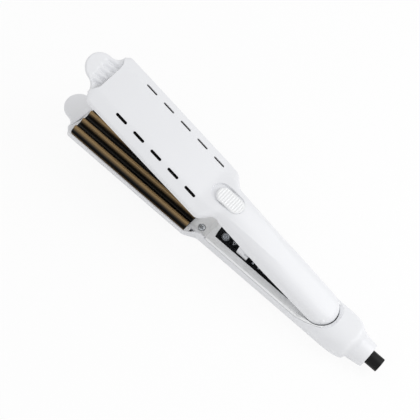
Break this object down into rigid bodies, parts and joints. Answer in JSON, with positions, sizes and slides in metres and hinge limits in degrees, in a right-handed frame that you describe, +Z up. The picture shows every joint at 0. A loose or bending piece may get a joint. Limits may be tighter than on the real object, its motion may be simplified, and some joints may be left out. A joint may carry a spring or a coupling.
{
  "type": "hair waver",
  "caption": "Handheld hair waver with two hinged arms, waved heating plates, a slide lock, push buttons and a swivelling cord gland.",
  "frame": {"origin": "on the resting surface, straight below the hinge pin", "axes": "+X along the lower arm from the jaws to the cord end, +Z up from the resting surface, +Y across the jaws"},
  "size_m": [0.3103, 0.0488, 0.09],
  "materials": {
    "white_abs": "satin moulded",
    "plate_coating": "bronze-coloured satin coating",
    "black_plastic": "gloss moulded",
    "steel": "plated",
    "ceramic": "matt",
    "nylon": "matt",
    "circuit_board": "satin",
    "light_grey": "gloss",
    "lead_insulation": "matt",
    "black_rubber": "satin",
    "dark_phenolic": "matt"
  },
  "bodies": {
    "lower_arm": {"lower_outer_cover": "white_abs", "lower_inner_cover": "white_abs", "lower_plate": "plate_coating", "lower_plate_carrier": "dark_phenolic", "lower_heater": "ceramic", "lower_heater_clip": "steel", "lower_plate_screws": "steel", "lower_heater_leads": "lead_insulation", "thermal_fuse": "steel", "neck_screws": "steel", "control_panel": "black_plastic", "indicator_lenses": "light_grey", "circuit_board": "circuit_board", "push_switches": "steel", "indicator_leds": "light_grey", "board_components": "black_plastic", "lock_post": "white_abs", "hinge_pin": "steel", "hinge_washers": "steel", "torsion_spring": "steel", "tail_collar": "white_abs", "swivel_ring": "nylon"},
    "upper_arm": {"upper_outer_cover": "white_abs", "upper_inner_cover": "white_abs", "upper_plate": "plate_coating", "upper_plate_carrier": "dark_phenolic", "upper_heater": "ceramic", "upper_heater_clip": "steel", "upper_plate_screws": "steel", "upper_heater_leads": "lead_insulation", "upper_cover_screws": "steel"},
    "slide_lock": {"lock_button": "white_abs", "lock_carriage": "steel"},
    "power_key": {"power_button": "light_grey"},
    "temperature_down_key": {"temperature_down_button": "black_plastic"},
    "temperature_up_key": {"temperature_up_button": "black_plastic"},
    "cord_swivel": {"swivel_gland": "black_rubber"}
  },
  "joints": [
    {"name": "arm_hinge", "type": "hinge", "parent": "lower_arm", "child": "upper_arm", "pos_m": [0, 0, 0.0165], "axis": [0, -1, 0], "range_deg": [0, 14.5], "stiffness_Nm_per_rad": 0.6, "springref_deg": -28.65, "deforming": ["torsion_spring"]},
    {"name": "lock_slide", "type": "slide", "parent": "upper_arm", "child": "slide_lock", "axis": [-0.9681, 0, 0.2504], "range_m": [0, 0.0035]},
    {"name": "power_press", "type": "slide", "parent": "lower_arm", "child": "power_key", "axis": [0, 0, -1], "range_m": [0, 0.0006], "stiffness_N_per_m": 200, "springref_m": -0.004},
    {"name": "temperature_down_press", "type": "slide", "parent": "lower_arm", "child": "temperature_down_key", "axis": [0, 0, -1], "range_m": [0, 0.0006], "stiffness_N_per_m": 200, "springref_m": -0.004},
    {"name": "temperature_up_press", "type": "slide", "parent": "lower_arm", "child": "temperature_up_key", "axis": [0, 0, -1], "range_m": [0, 0.0006], "stiffness_N_per_m": 200, "springref_m": -0.004},
    {"name": "cord_turn", "type": "hinge", "parent": "lower_arm", "child": "cord_swivel", "pos_m": [0.0524, 0, 0.01195], "axis": [1, 0, 0], "continuous": true}
  ]
}
